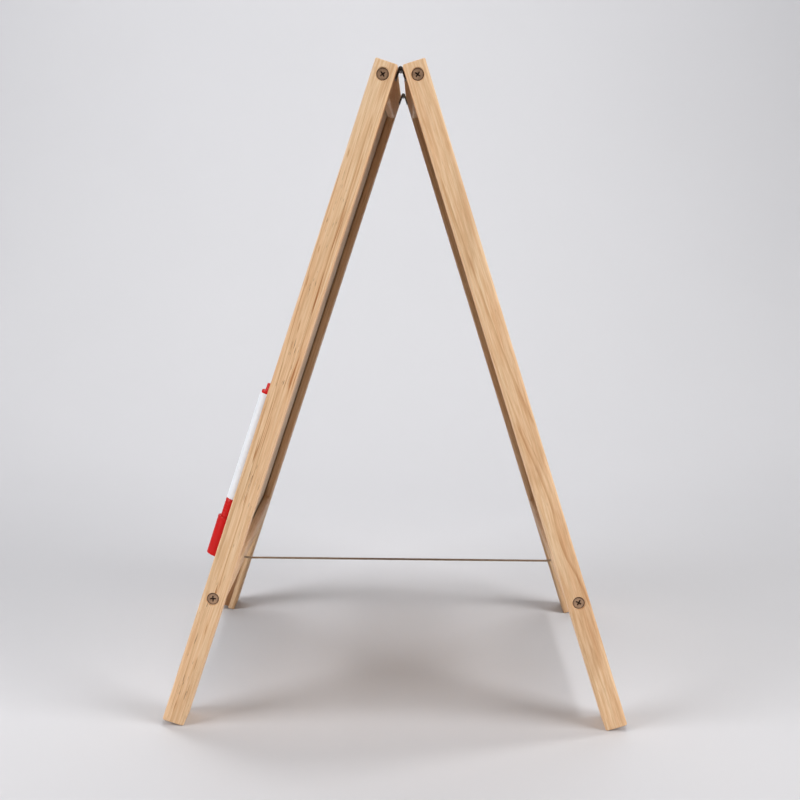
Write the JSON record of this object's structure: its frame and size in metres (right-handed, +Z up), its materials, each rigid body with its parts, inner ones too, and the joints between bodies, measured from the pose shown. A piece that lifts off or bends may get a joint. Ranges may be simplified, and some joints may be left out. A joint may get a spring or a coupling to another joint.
{
  "type": "kids easel",
  "caption": "Small folding table-top easel of pine with a whiteboard on one side, a chalkboard on the other, a spreading string and a capped magnetic marker.",
  "frame": {"origin": "middle of the footprint, on the surface the easel stands on", "axes": "+Z up, X across the opening with the whiteboard towards -X, Y along the width of the boards and the hinge line"},
  "size_m": [0.3146, 0.3, 0.4434],
  "materials": {
    "pine": "planed, unvarnished",
    "hardboard": "smooth hardboard",
    "whiteboard_skin": "gloss white",
    "chalkboard_skin": "matte black",
    "bronzed_steel": "dark bronze",
    "black_steel": "blackened",
    "twine": "twisted cord",
    "marker_red": "gloss",
    "marker_white": "gloss",
    "magnet": "satin",
    "felt": "felt"
  },
  "bodies": {
    "whiteboard_panel": {"whiteboard_leg_left": "pine", "whiteboard_leg_right": "pine", "whiteboard_top_rail": "pine", "whiteboard_bottom_rail": "pine", "whiteboard_core": "hardboard", "whiteboard_writing_face": "whiteboard_skin", "whiteboard_frame_screws": "bronzed_steel", "whiteboard_hinge_screws": "black_steel", "string_knot_whiteboard": "twine", "hinge_a_whiteboard_leaf": "black_steel", "hinge_a_pin": "black_steel", "hinge_b_whiteboard_leaf": "black_steel", "hinge_b_pin": "black_steel", "spread_string": "twine"},
    "chalkboard_panel": {"chalkboard_leg_left": "pine", "chalkboard_leg_right": "pine", "chalkboard_top_rail": "pine", "chalkboard_bottom_rail": "pine", "chalkboard_core": "hardboard", "chalkboard_writing_face": "chalkboard_skin", "chalkboard_frame_screws": "bronzed_steel", "chalkboard_hinge_screws": "black_steel", "string_knot_chalkboard": "twine", "hinge_a_chalkboard_leaf": "black_steel", "hinge_b_chalkboard_leaf": "black_steel"},
    "marker_cap_body": {"marker_cap": "marker_red", "marker_magnet": "magnet"},
    "marker_pen_body": {"marker_barrel": "marker_white", "marker_grip": "marker_red", "marker_nib": "felt", "marker_ink_reservoir": "felt", "marker_end_plug": "marker_red"}
  },
  "joints": [
    {"name": "fold", "type": "hinge", "parent": "whiteboard_panel", "child": "chalkboard_panel", "pos_m": [0, 0, 0.43851], "axis": [0, 1, 0], "range_deg": [0, 35.8], "deforming": ["spread_string"]},
    {"name": "marker_lift", "type": "slide", "parent": "whiteboard_panel", "child": "marker_cap_body", "axis": [-0.9516, 0, 0.3074], "range_m": [0, 0.04]},
    {"name": "marker_draw", "type": "slide", "parent": "marker_cap_body", "child": "marker_pen_body", "axis": [0.3074, 0, 0.9516], "range_m": [0, 0.03]}
  ]
}
